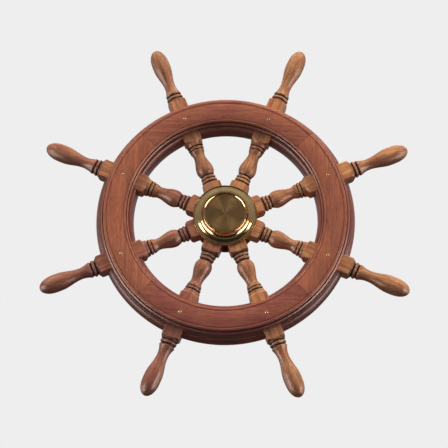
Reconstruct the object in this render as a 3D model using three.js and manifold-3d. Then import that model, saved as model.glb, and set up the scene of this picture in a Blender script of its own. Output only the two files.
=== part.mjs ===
// Ship's steering wheel: eight turned spokes through a built-up wooden rim, a brass hub clamped
// round the spoke heels, and the short shaft and flanged bearing that carry the wheel.
//
// Millimetres, +Z up. The wheel turns about the Y axis and its front looks along -Y. The origin
// is on that axis, in the middle plane of the rim. Angles go from +X towards +Z.

import * as THREE from 'three';
import { mergeVertices } from 'three/addons/utils/BufferGeometryUtils.js';
import Module from 'manifold-3d';

const wasm = await Module();
wasm.setup();

// Overall sizes
const TIP_RADIUS = 381;            // axis to the handle tips
const RIM_OUTER_RADIUS = 250;      // to the nose of the felloes
const RIM_INNER_RADIUS = 178;      // to the inside of the felloes
const SPOKE_COUNT = 8;
const SPOKE_SQUARE = 35;           // side of the square stock, and thickness of the felloes

// Rim: felloes between two rings, each ring in four segments
const RING_SEGMENT_COUNT = 4;
const RING_THICKNESS = 15;
const RING_OUTER_STEP = 10.5;      // how far the felloe stands out past the ring, outside
const RING_INNER_STEP = 8;         // the same, inside
const OUTER_MOULDING_WIDTH = 12.5; // moulded edge of a ring, from its face to its base
const INNER_MOULDING_WIDTH = 9.5;
const RING_STRAIGHT_EDGE = 2.5;    // straight part of a ring's edge, at its base
const FELLOE_ROUND = 6.5;          // taken off the felloes' front edge, inside
const FELLOE_BACK_BEVEL = 0.7;     // and off their back edge
const PIN_RADIUS = 3;
const PIN_PROUD = 0.3;

// Spokes: square at the heel and through the rim, turned between
const HEEL_PROUD = 8.5;            // square past the hub plate
const BLOCK_PROUD_INSIDE = 7.5;    // square past the felloes, towards the hub
const BLOCK_PROUD_OUTSIDE = 7;     // square past the felloes, towards the handle
const GRIP_RADIUS = 17.2;
const GRIP_LENGTH = 34;            // rounded end of the handle

// Hub: two brass plates on a bush
const HUB_RADIUS = 61.5;
const HUB_HEIGHT = 15.7;           // front plate, over the spoke faces
const FLANGE_THICKNESS = 3.4;      // its rim
const FLOOR_THICKNESS = 2.5;       // its floor, under the washer
const CAP_RADIUS = 38.3;
const CAP_THICKNESS = 1.6;
const CAP_SPIGOT_DEPTH = 4;
const CAP_SPIGOT_WALL = 2.2;
const CAP_LEDGE_WIDTH = 4.6;
const CAP_RIM_WIDTH = 2.4;         // bead round the cap, on the front plate
const CAP_RIM_PROUD = 0.3;
const BACK_PLATE_THICKNESS = 4.2;
const PLATE_EDGE = 1.2;            // bevel round both plates
const HUB_BUSH_WALL = 8.7;
const HUB_SCREW_MARGIN = 10.5;     // from a hub screw's middle to the plate's edge
const HUB_SCREW_RADIUS = 2.4;
const HUB_SCREW_HEAD_RADIUS = 4.6;
const HUB_SCREW_LENGTH = 26;

// Shaft, its key, washer and nut
const SHAFT_RADIUS = 12.5;
const THREAD_RADIUS = 8;
const SHAFT_SETBACK = 2;           // shoulder's depth inside the bush, so the nut clamps the hub
const COLLAR_WIDTH = 5.5;          // how far the collar stands out from the shaft
const COLLAR_THICKNESS = 5.7;
const KEY_WIDTH = 6;
const KEY_HEIGHT = 6;
const KEY_LENGTH = 24;
const SHAFT_END_SETBACK = 1;       // the shaft's back end, inside the mounting face
const WASHER_RADIUS = 15;
const WASHER_THICKNESS = 1.6;
const NUT_ACROSS_FLATS = 24;
const NUT_HEIGHT = 8;

// Bearing behind the wheel
const MOUNT_FACE_Y = 75;           // the face that bolts to the bulkhead or pedestal
const BEARING_FLANGE_RADIUS = 40;
const BEARING_FLANGE_THICKNESS = 8;
const BEARING_BUSH_WALL = 3.2;
const BEARING_BUSH_FLANGE_WIDTH = 5;
const BEARING_BUSH_FLANGE_THICKNESS = 3;
const BEARING_WALL = 7.7;
const BEARING_SCREW_HOLE_RADIUS = 2.8;
const BEARING_SCREW_COUNT = 4;
const BEARING_BEVEL = 1;
const COUNTERBORE_DEPTH = 6.6;
const COUNTERBORE_MARGIN = 3;      // room round the retaining ring
const RETAINING_RING_WIDTH = 4.5;  // how far the ring stands out from the shaft
const RETAINING_RING_THICKNESS = 1.7;
const RETAINING_GROOVE_DEPTH = 1;

// Clearances
const GAP = 0.3;                   // between pieces that meet, pass through or turn in each other
const THRUST_GAP = 0.6;            // end float between the shaft's collar and the bearing

// Facets round a full turn
const RIM_SIDES = 48;
const HUB_SIDES = 24;
const SHAFT_SIDES = 24;
const SPOKE_SIDES = 8;
const HOLE_SIDES = 8;

const HALF_SQUARE = SPOKE_SQUARE / 2;
const SPOKE_STEP = 2 * Math.PI / SPOKE_COUNT;
const FIRST_SPOKE = SPOKE_STEP / 2;
const SEGMENT_STEP = 2 * Math.PI / RING_SEGMENT_COUNT;
const RING_SEAT = HALF_SQUARE + GAP;
const RING_FACE = HALF_SQUARE + RING_THICKNESS;
const RING_OUTER_RADIUS = RIM_OUTER_RADIUS - RING_OUTER_STEP;
const RING_INNER_RADIUS = RIM_INNER_RADIUS + RING_INNER_STEP;
const PIN_CIRCLE_RADIUS = (RING_INNER_RADIUS + RING_OUTER_RADIUS) / 2;
const HUB_SEAT = HALF_SQUARE + GAP;
const HUB_FRONT = HALF_SQUARE + HUB_HEIGHT;
const HUB_SCREW_CIRCLE_RADIUS = HUB_RADIUS - HUB_SCREW_MARGIN;
const BORE_RADIUS = SHAFT_RADIUS + GAP;
const HUB_BUSH_RADIUS = BORE_RADIUS + HUB_BUSH_WALL;
const FAR = 2 * TIP_RADIUS;        // longer than any cut needs

const finishes = {
  rimWood: { color: 0x96563e, roughness: 0.32, metalness: 0 },
  felloeWood: { color: 0x86492f, roughness: 0.36, metalness: 0 },
  spokeWood: { color: 0xb4763f, roughness: 0.3, metalness: 0 },
  brass: { color: 0xd3a84f, roughness: 0.18, metalness: 1 },
  brushedBrass: { color: 0x9c8240, roughness: 0.4, metalness: 1 },
  bronze: { color: 0x8d6a3a, roughness: 0.4, metalness: 1 },
  steel: { color: 0x8f9194, roughness: 0.35, metalness: 1 },
};

// Solids -------------------------------------------------------------------------------------

// A closed geometry as a solid that can be cut and joined.
function solid(geometry) {
  const bare = geometry.clone();
  bare.deleteAttribute('normal');
  bare.deleteAttribute('uv');
  const merged = mergeVertices(bare, 1e-4);
  const corners = merged.index.array;
  const kept = [];
  for (let i = 0; i < corners.length; i += 3) {
    const [a, b, c] = corners.slice(i, i + 3);
    if (a !== b && b !== c && c !== a) kept.push(a, b, c);
  }
  const vertProperties = Float32Array.from(merged.attributes.position.array);
  return new wasm.Manifold(new wasm.Mesh({ numProp: 3, vertProperties, triVerts: Uint32Array.from(kept) }));
}

// A solid as a geometry with flat facets.
function geometryOf(body) {
  const { vertProperties, triVerts } = body.getMesh();
  const indexed = new THREE.BufferGeometry();
  indexed.setAttribute('position', new THREE.BufferAttribute(vertProperties, 3));
  indexed.setIndex(new THREE.BufferAttribute(triVerts, 1));
  const geometry = indexed.toNonIndexed();
  geometry.computeVertexNormals();
  return geometry;
}

// A profile of [radius, y] pairs, listed with y rising along the outside, turned round Y.
function turned(profile, sides) {
  const points = profile.map(([radius, y]) => new THREE.Vector2(radius, y));
  return solid(new THREE.LatheGeometry(points, sides));
}

// The same for a ring, whose profile closes on itself.
function turnedRing(profile, sides) {
  return turned([...profile, profile[0]], sides);
}

// A rod along Y between two heights, its middle on the X axis.
function rod(radius, low, high, sides, x = 0) {
  const geometry = new THREE.CylinderGeometry(radius, radius, high - low, sides);
  geometry.translate(x, (low + high) / 2, 0);
  return solid(geometry);
}

// A box between two corners.
function block(low, high) {
  const size = high.map((value, i) => value - low[i]);
  const geometry = new THREE.BoxGeometry(...size);
  geometry.translate(...low.map((value, i) => value + size[i] / 2));
  return solid(geometry);
}

// A wedge with its edge beside the Y axis, `width` wide in angle and half a gap inside that.
function wedge(middle, width, gap) {
  const edge = gap / 2 / Math.sin(width / 2);
  const along = FAR * Math.cos(width / 2);
  const across = FAR * Math.sin(width / 2);
  const shape = new THREE.Shape();
  shape.moveTo(edge, 0);
  shape.lineTo(edge + along, -across);
  shape.lineTo(edge + along, across);
  const geometry = new THREE.ExtrudeGeometry(shape, { depth: FAR, bevelEnabled: false });
  geometry.translate(0, 0, -FAR / 2);
  geometry.rotateX(Math.PI / 2);
  geometry.rotateY(-middle);
  return solid(geometry);
}

// A body placed for angle 0, turned round the Y axis to another angle.
function turnTo(body, angle) {
  return body.rotate([0, -THREE.MathUtils.radToDeg(angle), 0]);
}

// Turning ------------------------------------------------------------------------------------
// A turned outline is a list of cuts. A cut runs on for a length, to a radius, in a few steps;
// `shape` says how much of the way to the new radius each step has gone, and `bulge` is the
// height of a bead over the straight line.

const straight = (t) => t;
const easy = (t) => (1 - Math.cos(Math.PI * t)) / 2;
const rounded = (t) => 1 - Math.cos(Math.PI * t / 2);

const cut = (length, radius, steps = 1, shape = straight, bulge = 0) => (
  { length, radius, steps, shape, bulge }
);
const sweep = (length, radius, steps) => cut(length, radius, steps, easy);
const shoulder = (length, radius) => cut(length, radius, 2, rounded);
const bead = (length, radius, bulge) => cut(length, radius, 2, straight, bulge);

// The [distance, radius] points of a list of cuts, after its start.
function outline(start, cuts) {
  const points = [];
  let [distance, radius] = start;
  for (const { length, radius: end, steps, shape, bulge } of cuts) {
    for (let i = 1; i <= steps; i += 1) {
      const t = i / steps;
      const turnedTo = radius + (end - radius) * shape(t) + bulge * Math.sin(Math.PI * t);
      points.push([distance + length * t, turnedTo]);
    }
    distance += length;
    radius = end;
  }
  return points;
}

// The length that a list of cuts takes.
function lengthOf(cuts) {
  return cuts.reduce((sum, each) => sum + each.length, 0);
}

// The same cuts with their lengths stretched to a total.
function fitted(cuts, total) {
  const scale = total / lengthOf(cuts);
  return cuts.map((each) => ({ ...each, length: each.length * scale }));
}

// Spokes -------------------------------------------------------------------------------------

const CORNER = HALF_SQUARE * Math.SQRT2 + GAP;   // a turned radius that leaves the square whole
const HEEL_END = HUB_RADIUS + HEEL_PROUD;
const BLOCK_START = RIM_INNER_RADIUS - BLOCK_PROUD_INSIDE;
const BLOCK_END = RIM_OUTER_RADIUS + BLOCK_PROUD_OUTSIDE;

const balusterFoot = [shoulder(7, 16.5), cut(2, 14.2), bead(7, 13.9, 1.7), bead(8.3, 12.6, 1)];
const balusterVase = [sweep(13.2, 17, 3), sweep(31.5, 11.2, 3), sweep(11, 14.2, 2)];
const balusterHead = [
  cut(1.8, 13.4), bead(6, 14.4, 1.7), cut(0.7, 15.6), cut(5.5, 16.5), cut(7, CORNER, 2),
];
const handleFoot = [cut(6.2, 17, 2), cut(1.8, 16.6), cut(2, 15.1), bead(8, 14.5, 1.3), cut(3.8, 15.3)];
const handleGrip = [sweep(19.2, 10.8, 3), sweep(49, GRIP_RADIUS, 3)];

// The rounded end of a handle: a curve a little fuller than a quarter ellipse, to the axis.
function gripEnd(start, steps) {
  const points = [];
  for (let i = 1; i <= steps; i += 1) {
    const t = Math.sin(Math.PI / 2 * i / steps);
    points.push([start + GRIP_LENGTH * t, i < steps ? GRIP_RADIUS * Math.sqrt(1 - t ** 2.4) : 0]);
  }
  return points;
}

// One spoke's turned envelope, from the axis of the wheel to the tip of the handle.
function spokeOutline() {
  const vaseLength = BLOCK_START - HEEL_END - lengthOf(balusterFoot) - lengthOf(balusterHead);
  const gripStart = TIP_RADIUS - GRIP_LENGTH;
  const gripLength = gripStart - BLOCK_END - lengthOf(handleFoot);
  const baluster = [...balusterFoot, ...fitted(balusterVase, vaseLength), ...balusterHead];
  const handle = [...handleFoot, ...fitted(handleGrip, gripLength)];
  return [
    [0, 0],
    [0, CORNER],
    [HEEL_END, CORNER],
    ...outline([HEEL_END, CORNER], baluster),
    [BLOCK_END, CORNER],
    ...outline([BLOCK_END, CORNER], handle),
    ...gripEnd(gripStart, 4),
  ];
}

// A spoke along +X: turned from square stock, its heel mitred to its neighbours and cut round
// the bush, and bored for its rim pin and hub screw.
function spoke() {
  const points = spokeOutline().map(([distance, radius]) => new THREE.Vector2(radius, distance));
  const lathe = new THREE.LatheGeometry(points, SPOKE_SIDES, Math.PI / 4);
  lathe.rotateZ(-Math.PI / 2);
  const stock = block([0, -HALF_SQUARE, -HALF_SQUARE], [FAR, HALF_SQUARE, HALF_SQUARE]);
  return solid(lathe)
    .intersect(stock)
    .intersect(wedge(0, SPOKE_STEP, GAP))
    .subtract(rod(HUB_BUSH_RADIUS + GAP, -HUB_FRONT, HUB_FRONT, HUB_SIDES))
    .subtract(pinHole())
    .subtract(hubScrewHole());
}

// Rim ----------------------------------------------------------------------------------------

// The moulded edge of a ring, from its flat face down to its straight base: a fine quirk, a broad
// round, a deep step and a bead, as shares of its width and its fall. `side` is 1 outside and -1
// inside.
function ringEdge(base, width, side) {
  const at = (share, drop) => [base - side * width * (1 - share), -(RING_FACE - drop)];
  const fall = RING_THICKNESS - RING_STRAIGHT_EDGE;
  return [at(0, 0), at(0.05, 0.06 * fall), at(0.6, 0.2 * fall), at(0.7, 0.68 * fall), at(1, fall)];
}

// The hole for a rim pin, through both rings and a spoke along +X.
function pinHole() {
  return rod(PIN_RADIUS + GAP, -FAR, FAR, HOLE_SIDES, PIN_CIRCLE_RADIUS);
}

// One front ring segment, its middle at angle 0, with holes for the pins that fall in it.
function ringSegment() {
  const profile = [
    [RING_INNER_RADIUS, -RING_SEAT],
    ...ringEdge(RING_INNER_RADIUS, INNER_MOULDING_WIDTH, -1).reverse(),
    ...ringEdge(RING_OUTER_RADIUS, OUTER_MOULDING_WIDTH, 1),
    [RING_OUTER_RADIUS, -RING_SEAT],
  ];
  const segment = turnedRing(profile, RIM_SIDES).intersect(wedge(0, SEGMENT_STEP, GAP));
  return spokeAngles().reduce((body, angle) => body.subtract(turnTo(pinHole(), angle)), segment);
}

// One felloe, its middle at angle 0: its ends lie along the two spokes beside it. Its front edges
// are moulded, in line with the ring's outside and rounded inside, and its back edges are plain.
function felloe() {
  const face = HALF_SQUARE;
  const outside = (inset, share) => [RIM_OUTER_RADIUS - inset * RING_OUTER_STEP, share * face];
  const profile = [
    [RIM_INNER_RADIUS + FELLOE_ROUND, -face],
    outside(0.95, -1),
    outside(0.7, -0.57),
    outside(0.6, -0.42),
    outside(0.06, 0.3),
    outside(0, 0.5),
    outside(0.06, 0.8),
    outside(0.3, 1),
    [RIM_INNER_RADIUS + FELLOE_BACK_BEVEL, face],
    [RIM_INNER_RADIUS, face - FELLOE_BACK_BEVEL],
    [RIM_INNER_RADIUS, 0],
    [RIM_INNER_RADIUS + 0.4 * FELLOE_ROUND, -0.62 * face],
  ];
  const ring = turnedRing(profile, RIM_SIDES).intersect(wedge(0, SPOKE_STEP, 0));
  return [-SPOKE_STEP / 2, SPOKE_STEP / 2].reduce((body, angle) => {
    const half = HALF_SQUARE + GAP;
    const bar = new THREE.BoxGeometry(FAR, SPOKE_SQUARE + 2 * GAP, 2 * half);
    bar.translate(FAR / 2, 0, 0);
    bar.rotateY(-angle);
    return body.subtract(solid(bar));
  }, ring);
}

// A pin through both rings and a spoke, for a spoke along +X.
function rimPin() {
  const end = RING_FACE + PIN_PROUD;
  return rod(PIN_RADIUS, -end, end, HOLE_SIDES, PIN_CIRCLE_RADIUS);
}

// Hub ----------------------------------------------------------------------------------------

const HUB_BACK = HUB_SEAT + BACK_PLATE_THICKNESS;
const CAP_RECESS_RADIUS = CAP_RADIUS + GAP;
const CAP_BACK = HUB_FRONT - CAP_THICKNESS;
const CAVITY_RADIUS = CAP_RECESS_RADIUS - CAP_LEDGE_WIDTH;
const FLOOR = HUB_SEAT + FLOOR_THICKNESS;

// The front plate: a flat flange with a round lip, a ridge, an ogee up to the bead round the
// cap, and a cavity behind the cap for the nut.
function frontPlate() {
  const lip = HUB_SEAT + FLANGE_THICKNESS;
  const capRim = CAP_RECESS_RADIUS + CAP_RIM_WIDTH;
  const slope = HUB_RADIUS - capRim;
  const rise = HUB_FRONT - lip;
  const profile = [
    [THREAD_RADIUS + GAP, -HUB_SEAT],
    [THREAD_RADIUS + GAP, -FLOOR],
    [CAVITY_RADIUS, -FLOOR],
    [CAVITY_RADIUS, -(CAP_BACK - GAP)],
    [CAP_RECESS_RADIUS, -(CAP_BACK - GAP)],
    [CAP_RECESS_RADIUS, -HUB_FRONT],
    [capRim - CAP_RIM_WIDTH / 2, -(HUB_FRONT + CAP_RIM_PROUD)],
    [capRim, -(HUB_FRONT - CAP_RIM_PROUD)],
    [capRim + 0.17 * slope, -(lip + 0.55 * rise)],
    [capRim + 0.4 * slope, -(lip + 0.14 * rise)],
    [capRim + 0.5 * slope, -(lip + 0.17 * rise)],
    [capRim + 0.6 * slope, -lip],
    [HUB_RADIUS - PLATE_EDGE, -lip],
    [HUB_RADIUS, -(lip - PLATE_EDGE)],
    [HUB_RADIUS, -HUB_SEAT],
  ];
  return turnedRing(profile, HUB_SIDES);
}

// The cap over the nut: a disc with a spigot that grips the front plate's cavity.
function centreCap() {
  const spigot = CAVITY_RADIUS - GAP;
  const profile = [
    [0, -HUB_FRONT],
    [CAP_RADIUS, -HUB_FRONT],
    [CAP_RADIUS, -CAP_BACK],
    [spigot, -CAP_BACK],
    [spigot, -(CAP_BACK - CAP_SPIGOT_DEPTH)],
    [spigot - CAP_SPIGOT_WALL, -(CAP_BACK - CAP_SPIGOT_DEPTH)],
    [spigot - CAP_SPIGOT_WALL, -CAP_BACK],
    [0, -CAP_BACK],
  ];
  return turned(profile, HUB_SIDES);
}

// A countersunk screw, or the larger hole for it, from `end` up to `top`.
function countersunk(grow, end, top) {
  const head = HUB_SCREW_HEAD_RADIUS + grow;
  const shank = HUB_SCREW_RADIUS + grow;
  const edge = HUB_BACK - GAP;
  const neck = edge - (HUB_SCREW_HEAD_RADIUS - HUB_SCREW_RADIUS);
  const profile = [[0, end], [shank, end], [shank, neck], [head, edge], [head, top], [0, top]];
  return turned(profile, HOLE_SIDES);
}

// The hub screw for a spoke along +X, driven from the back, and the hole for it.
function hubScrew() {
  const screw = countersunk(0, HUB_BACK - HUB_SCREW_LENGTH, HUB_BACK);
  return screw.translate([HUB_SCREW_CIRCLE_RADIUS, 0, 0]);
}

function hubScrewHole() {
  const hole = countersunk(GAP, HUB_BACK - HUB_SCREW_LENGTH - GAP, FAR);
  return hole.translate([HUB_SCREW_CIRCLE_RADIUS, 0, 0]);
}

// The back plate: a flat ring with a rounded edge and a hole for each screw.
function backPlate() {
  const profile = [
    [BORE_RADIUS, HUB_SEAT],
    [HUB_RADIUS, HUB_SEAT],
    [HUB_RADIUS, HUB_BACK - PLATE_EDGE],
    [HUB_RADIUS - PLATE_EDGE, HUB_BACK],
    [BORE_RADIUS, HUB_BACK],
  ];
  const plate = turnedRing(profile, HUB_SIDES);
  return spokeAngles().reduce((body, angle) => body.subtract(turnTo(hubScrewHole(), angle)), plate);
}

// The key in the top of the shaft, and the slot for it, which is a gap larger all round.
function keyBlock(grow, reach) {
  const low = SHAFT_RADIUS - KEY_HEIGHT / 2 - grow;
  const high = SHAFT_RADIUS + KEY_HEIGHT / 2 + grow;
  const half = KEY_WIDTH / 2 + grow;
  return block([-half, -reach / 2 - grow, low], [half, reach / 2 + grow, high]);
}

// The bush between the plates, keyed to the shaft.
function hubBush() {
  const body = rod(HUB_BUSH_RADIUS, -HALF_SQUARE, HALF_SQUARE, HUB_SIDES);
  return body.subtract(rod(BORE_RADIUS, -FAR, FAR, SHAFT_SIDES)).subtract(keyBlock(GAP, FAR));
}

// Shaft --------------------------------------------------------------------------------------

const COLLAR_RADIUS = SHAFT_RADIUS + COLLAR_WIDTH;
const RETAINING_RING_RADIUS = SHAFT_RADIUS + RETAINING_RING_WIDTH;
const COLLAR_FRONT = HUB_BACK + GAP;
const COLLAR_BACK = COLLAR_FRONT + COLLAR_THICKNESS;
const WASHER_SEAT = FLOOR + GAP;
const NUT_SEAT = WASHER_SEAT + WASHER_THICKNESS + GAP;
const COUNTERBORE_FLOOR = MOUNT_FACE_Y - COUNTERBORE_DEPTH;
const RETAINING_RING_FRONT = COUNTERBORE_FLOOR + GAP;

// The shaft, from its threaded front end back through the bearing, with a keyway.
function steeringShaft() {
  const front = NUT_SEAT + NUT_HEIGHT;
  const back = MOUNT_FACE_Y - SHAFT_END_SETBACK;
  const step = HALF_SQUARE - SHAFT_SETBACK;
  const grooveFront = RETAINING_RING_FRONT - GAP / 2;
  const grooveBack = grooveFront + RETAINING_RING_THICKNESS + GAP;
  const groove = SHAFT_RADIUS - RETAINING_GROOVE_DEPTH;
  const profile = [
    [0, -front],
    [THREAD_RADIUS, -front],
    [THREAD_RADIUS, -step],
    [SHAFT_RADIUS, -step],
    [SHAFT_RADIUS, COLLAR_FRONT],
    [COLLAR_RADIUS, COLLAR_FRONT],
    [COLLAR_RADIUS, COLLAR_BACK],
    [SHAFT_RADIUS, COLLAR_BACK],
    [SHAFT_RADIUS, grooveFront],
    [groove, grooveFront],
    [groove, grooveBack],
    [SHAFT_RADIUS, grooveBack],
    [SHAFT_RADIUS, back],
    [0, back],
  ];
  return turned(profile, SHAFT_SIDES).subtract(keyBlock(GAP, KEY_LENGTH));
}

function washer() {
  const front = WASHER_SEAT + WASHER_THICKNESS;
  const hole = rod(THREAD_RADIUS + GAP, -FAR, FAR, SHAFT_SIDES);
  return rod(WASHER_RADIUS, -front, -WASHER_SEAT, SHAFT_SIDES).subtract(hole);
}

function nut() {
  const corner = NUT_ACROSS_FLATS / 2 / Math.cos(Math.PI / 6);
  const hole = rod(THREAD_RADIUS + GAP, -FAR, FAR, SHAFT_SIDES);
  return rod(corner, -(NUT_SEAT + NUT_HEIGHT), -NUT_SEAT, 6).subtract(hole);
}

// Bearing ------------------------------------------------------------------------------------

const THRUST_FACE = COLLAR_BACK + THRUST_GAP;
const HOUSING_FRONT = THRUST_FACE + BEARING_BUSH_FLANGE_THICKNESS + GAP;
const BEARING_BUSH_RADIUS = BORE_RADIUS + BEARING_BUSH_WALL;

// The plain bush, with a flange that takes the thrust of the shaft's collar.
function bearingBush() {
  const flange = BEARING_BUSH_RADIUS + BEARING_BUSH_FLANGE_WIDTH;
  const profile = [
    [BORE_RADIUS, THRUST_FACE],
    [flange, THRUST_FACE],
    [flange, HOUSING_FRONT - GAP],
    [BEARING_BUSH_RADIUS, HOUSING_FRONT - GAP],
    [BEARING_BUSH_RADIUS, COUNTERBORE_FLOOR - GAP],
    [BORE_RADIUS, COUNTERBORE_FLOOR - GAP],
  ];
  return turnedRing(profile, SHAFT_SIDES);
}

// The flanged housing, with screw holes and a counterbore for the retaining ring.
function bearingHousing() {
  const bore = BEARING_BUSH_RADIUS + GAP;
  const boss = bore + BEARING_WALL;
  const flangeFront = MOUNT_FACE_Y - BEARING_FLANGE_THICKNESS;
  const counterbore = RETAINING_RING_RADIUS + COUNTERBORE_MARGIN;
  const profile = [
    [bore, HOUSING_FRONT],
    [boss - BEARING_BEVEL, HOUSING_FRONT],
    [boss, HOUSING_FRONT + BEARING_BEVEL],
    [boss, flangeFront],
    [BEARING_FLANGE_RADIUS - BEARING_BEVEL, flangeFront],
    [BEARING_FLANGE_RADIUS, flangeFront + BEARING_BEVEL],
    [BEARING_FLANGE_RADIUS, MOUNT_FACE_Y],
    [counterbore, MOUNT_FACE_Y],
    [counterbore, COUNTERBORE_FLOOR],
    [bore, COUNTERBORE_FLOOR],
  ];
  const screwCircle = (boss + BEARING_FLANGE_RADIUS) / 2;
  let housing = turnedRing(profile, HUB_SIDES);
  for (let i = 0; i < BEARING_SCREW_COUNT; i += 1) {
    const angle = (i + 0.5) * 2 * Math.PI / BEARING_SCREW_COUNT;
    const hole = rod(BEARING_SCREW_HOLE_RADIUS, -FAR, FAR, HOLE_SIDES, screwCircle);
    housing = housing.subtract(turnTo(hole, angle));
  }
  return housing;
}

// The split ring in the shaft's groove, which keeps the shaft from coming forward.
function retainingRing() {
  const front = RETAINING_RING_FRONT;
  const back = front + RETAINING_RING_THICKNESS;
  const inner = SHAFT_RADIUS - RETAINING_GROOVE_DEPTH + GAP;
  const slot = block([-SHAFT_RADIUS / 3, front - GAP, 0], [SHAFT_RADIUS / 3, back + GAP, FAR]);
  return rod(RETAINING_RING_RADIUS, front, back, SHAFT_SIDES)
    .subtract(rod(inner, -FAR, FAR, SHAFT_SIDES))
    .subtract(slot);
}

// Assembly -----------------------------------------------------------------------------------

// The spokes' angles, in order round the wheel.
function spokeAngles() {
  return Array.from({ length: SPOKE_COUNT }, (_, i) => FIRST_SPOKE + i * SPOKE_STEP);
}

const wheel = new THREE.Group();

// Adds one named piece, turned about the wheel's axis.
function add(name, geometry, finish, angle = 0) {
  const mesh = new THREE.Mesh(geometry, new THREE.MeshStandardMaterial(finishes[finish]));
  mesh.name = name;
  mesh.rotation.y = -angle;
  wheel.add(mesh);
  return mesh;
}

// Adds the copies of a repeated piece, numbered from 1.
function addRound(name, body, finish, angles) {
  const geometry = geometryOf(body);
  return angles.map((angle, i) => add(`${name}_${i + 1}`, geometry, finish, angle));
}

const segmentAngles = Array.from({ length: RING_SEGMENT_COUNT }, (_, i) => i * SEGMENT_STEP);
const felloeAngles = spokeAngles().map((angle) => angle + SPOKE_STEP / 2);
const frontSegment = ringSegment();

addRound('front_ring_segment', frontSegment, 'rimWood', segmentAngles);
addRound('back_ring_segment', frontSegment.rotate([180, 0, 0]), 'rimWood', segmentAngles);
addRound('felloe', felloe(), 'felloeWood', felloeAngles);
addRound('spoke', spoke(), 'spokeWood', spokeAngles());
addRound('rim_pin', rimPin(), 'brass', spokeAngles());
addRound('hub_screw', hubScrew(), 'brass', spokeAngles());
add('front_hub_plate', geometryOf(frontPlate()), 'brass');
add('back_hub_plate', geometryOf(backPlate()), 'brass');
add('centre_cap', geometryOf(centreCap()), 'brushedBrass');
add('hub_bush', geometryOf(hubBush()), 'bronze');
add('steering_shaft', geometryOf(steeringShaft()), 'steel');
add('shaft_key', geometryOf(keyBlock(0, KEY_LENGTH)), 'steel');
add('shaft_washer', geometryOf(washer()), 'steel');
add('shaft_nut', geometryOf(nut()), 'steel');
add('retaining_ring', geometryOf(retainingRing()), 'steel');
add('bearing_bush', geometryOf(bearingBush()), 'bronze');
add('bearing_housing', geometryOf(bearingHousing()), 'bronze');

export default wheel;
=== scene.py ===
"""Ship's steering wheel: varnished mahogany rim, turned teak spokes and a polished brass hub.

Lengths are in metres. The wheel turns about Y, its front looks along -Y and +Z is up. Outlines are
written in millimetres, as [distance along the work, radius] pairs.
"""

import math
from itertools import product

import bmesh
import bpy
from mathutils import Matrix, Vector


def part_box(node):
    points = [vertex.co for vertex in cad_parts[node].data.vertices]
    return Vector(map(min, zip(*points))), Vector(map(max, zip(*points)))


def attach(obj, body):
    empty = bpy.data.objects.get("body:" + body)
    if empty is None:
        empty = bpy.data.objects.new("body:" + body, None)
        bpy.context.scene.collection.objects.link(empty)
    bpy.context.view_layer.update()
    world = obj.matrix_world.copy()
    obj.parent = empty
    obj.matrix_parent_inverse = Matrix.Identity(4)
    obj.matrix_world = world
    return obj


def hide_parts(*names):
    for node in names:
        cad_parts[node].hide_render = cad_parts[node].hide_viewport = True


bl_info = {
    "name": "Ship's steering wheel",
    "version": (1, 0, 0),
    "blender": (4, 5, 0),
    "location": "3D View > Sidebar > Ship Wheel",
    "description": "Builds a wooden ship's wheel with a brass hub around its packed frame",
    "category": "Add Mesh",
}

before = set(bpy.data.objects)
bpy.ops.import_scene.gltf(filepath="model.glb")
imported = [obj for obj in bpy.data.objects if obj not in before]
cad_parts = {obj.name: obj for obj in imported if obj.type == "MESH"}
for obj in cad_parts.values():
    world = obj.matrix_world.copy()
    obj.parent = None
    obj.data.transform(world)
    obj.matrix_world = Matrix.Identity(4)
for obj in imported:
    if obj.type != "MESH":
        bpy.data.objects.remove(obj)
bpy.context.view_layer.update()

MM = 0.001

# Places that the frame gives
SPOKES = 8
SEGMENTS = 4
SPOKE_STEP = 2 * math.pi / SPOKES
FIRST_SPOKE = SPOKE_STEP / 2
SPOKE_TIP = max(math.hypot(v.co.x, v.co.z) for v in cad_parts["spoke_1"].data.vertices)
FELLOE_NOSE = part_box("felloe_8")[1][0]
HALF_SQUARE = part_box("felloe_8")[1][1]
RING_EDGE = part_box("front_ring_segment_1")[1][0]
RING_SEAT = -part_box("front_ring_segment_1")[1][1]
RING_FACE = -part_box("front_ring_segment_1")[0][1]
PIN_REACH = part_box("rim_pin_1")[1][1]
PIN_CIRCLE = math.hypot(*[sum(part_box("rim_pin_1")[i][axis] for i in (0, 1)) / 2 for axis in (0, 2)])
HUB_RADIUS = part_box("front_hub_plate")[1][0]
HUB_SEAT = -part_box("front_hub_plate")[1][1]
CAP_FRONT = -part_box("centre_cap")[0][1]
CAP_REACH = -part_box("centre_cap")[1][1]
CAP_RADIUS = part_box("centre_cap")[1][0]
PLATE_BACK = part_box("back_hub_plate")[1][1]
HOUSING_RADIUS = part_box("bearing_housing")[1][0]

# Joints between pieces
GAP = 0.3 * MM


def ends(node):
    """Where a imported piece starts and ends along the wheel's axis, in millimetres."""
    low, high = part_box(node)
    return low[1] / MM, high[1] / MM


def linear(code):
    """An sRGB hex colour as linear red, green, blue and alpha."""
    values = [int(code[i:i + 2], 16) / 255 for i in (1, 3, 5)]
    return (*[v / 12.92 if v <= 0.04045 else ((v + 0.055) / 1.055) ** 2.4 for v in values], 1.0)


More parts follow.
